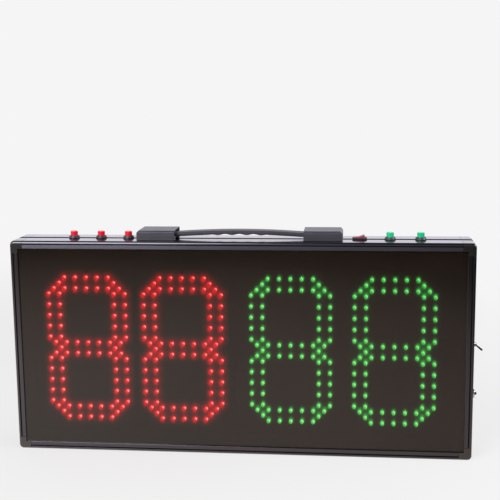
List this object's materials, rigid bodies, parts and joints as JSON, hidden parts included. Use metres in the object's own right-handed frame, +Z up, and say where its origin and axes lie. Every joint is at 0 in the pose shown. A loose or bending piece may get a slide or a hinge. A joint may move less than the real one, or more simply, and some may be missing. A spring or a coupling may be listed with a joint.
{
  "type": "electronic substitution board",
  "caption": "Hand-held LED substitution board: black rail frame, smoked front sheet, red and green digit pairs, push buttons, rocker switch and strap handle.",
  "frame": {"origin": "centre of the underside, midway between the ends and between the front and rear faces", "axes": "+X along the board to its right end seen from the front, +Y to its back, +Z up"},
  "size_m": [0.6548, 0.066, 0.3156],
  "materials": {
    "rail_anodised": "black gloss anodised extrusion",
    "corner_moulding": "black moulded plastic, satin",
    "smoked_sheet": "brownish smoked acrylic, polished",
    "rear_sheet": "black coated sheet, satin",
    "led_red": "red LED epoxy, lit, on a black circuit board",
    "led_green": "green LED epoxy, lit, on a black circuit board",
    "circuit_board": "green solder mask with black components",
    "battery_wrap": "blue heat-shrink wrap",
    "bare_steel": "zinc-plated steel",
    "black_steel": "blackened steel",
    "chrome_switch": "bright nickel",
    "nylon": "black nylon",
    "handle_rubber": "dark grey moulded rubber and plastic",
    "button_red": "red moulded plastic",
    "button_green": "green moulded plastic",
    "rocker_red": "dusky red moulded plastic",
    "plug_rubber": "black rubber"
  },
  "bodies": {
    "case": {"rail_top": "rail_anodised", "rail_bottom": "rail_anodised", "rail_left": "rail_anodised", "rail_right": "rail_anodised", "corner_top_right": "corner_moulding", "corner_bottom_right": "corner_moulding", "corner_bottom_left": "corner_moulding", "corner_top_left": "corner_moulding", "corner_screw_top_left": "black_steel", "corner_screw_bottom_left": "black_steel", "corner_screw_top_right": "black_steel", "corner_screw_bottom_right": "black_steel", "front_sheet": "smoked_sheet", "rear_panel": "rear_sheet", "digit_board_1": "led_red", "digit_board_2": "led_red", "digit_board_3": "led_green", "digit_board_4": "led_green", "board_post_1_top": "nylon", "board_post_1_bottom": "nylon", "board_post_2_top": "nylon", "board_post_2_bottom": "nylon", "board_post_3_top": "nylon", "board_post_3_bottom": "nylon", "board_post_4_top": "nylon", "board_post_4_bottom": "nylon", "control_board": "circuit_board", "battery_pack": "battery_wrap", "battery_bracket": "bare_steel", "button_body_red_1": "corner_moulding", "button_body_red_2": "corner_moulding", "button_body_red_3": "corner_moulding", "button_body_green_1": "corner_moulding", "button_body_green_2": "corner_moulding", "button_nut_red_1": "black_steel", "button_nut_red_2": "black_steel", "button_nut_red_3": "black_steel", "button_nut_green_1": "black_steel", "button_nut_green_2": "black_steel", "rocker_housing": "corner_moulding", "toggle_body": "chrome_switch", "toggle_nut": "chrome_switch", "socket_body": "corner_moulding", "socket_nut": "black_steel", "handle_cap_left": "handle_rubber", "handle_cap_right": "handle_rubber", "handle_plate_left": "bare_steel", "handle_plate_right": "bare_steel", "handle_rivet_left": "bare_steel", "handle_rivet_right": "bare_steel"},
    "button_red_1": {"button_cap_red_1": "button_red"},
    "button_red_2": {"button_cap_red_2": "button_red"},
    "button_red_3": {"button_cap_red_3": "button_red"},
    "button_green_1": {"button_cap_green_1": "button_green"},
    "button_green_2": {"button_cap_green_2": "button_green"},
    "rocker": {"rocker": "rocker_red"},
    "toggle": {"toggle_lever": "corner_moulding"},
    "dust_plug": {"dust_plug": "plug_rubber"},
    "strap": {"handle_strap": "handle_rubber"}
  },
  "joints": [
    {"name": "press_red_1", "type": "slide", "parent": "case", "child": "button_red_1", "axis": [0, 0, -1], "range_m": [0, 0.0025], "stiffness_N_per_m": 600, "springref_m": -0.001},
    {"name": "press_red_2", "type": "slide", "parent": "case", "child": "button_red_2", "axis": [0, 0, -1], "range_m": [0, 0.0025], "stiffness_N_per_m": 600, "springref_m": -0.001},
    {"name": "press_red_3", "type": "slide", "parent": "case", "child": "button_red_3", "axis": [0, 0, -1], "range_m": [0, 0.0025], "stiffness_N_per_m": 600, "springref_m": -0.001},
    {"name": "press_green_1", "type": "slide", "parent": "case", "child": "button_green_1", "axis": [0, 0, -1], "range_m": [0, 0.0025], "stiffness_N_per_m": 600, "springref_m": -0.001},
    {"name": "press_green_2", "type": "slide", "parent": "case", "child": "button_green_2", "axis": [0, 0, -1], "range_m": [0, 0.0025], "stiffness_N_per_m": 600, "springref_m": -0.001},
    {"name": "rocker_tilt", "type": "hinge", "parent": "case", "child": "rocker", "pos_m": [0.165, 0, 0.3034], "axis": [0, 1, 0], "range_deg": [0, 26]},
    {"name": "toggle_throw", "type": "hinge", "parent": "case", "child": "toggle", "pos_m": [0.3245, 0, 0.156], "axis": [0, -1, 0], "range_deg": [0, 80]},
    {"name": "plug_pull", "type": "slide", "parent": "case", "child": "dust_plug", "axis": [1, 0, 0], "range_m": [0, 0.012]},
    {"name": "strap_lift", "type": "slide", "parent": "case", "child": "strap", "axis": [0, 0, 1], "range_m": [0, 0.002]}
  ]
}
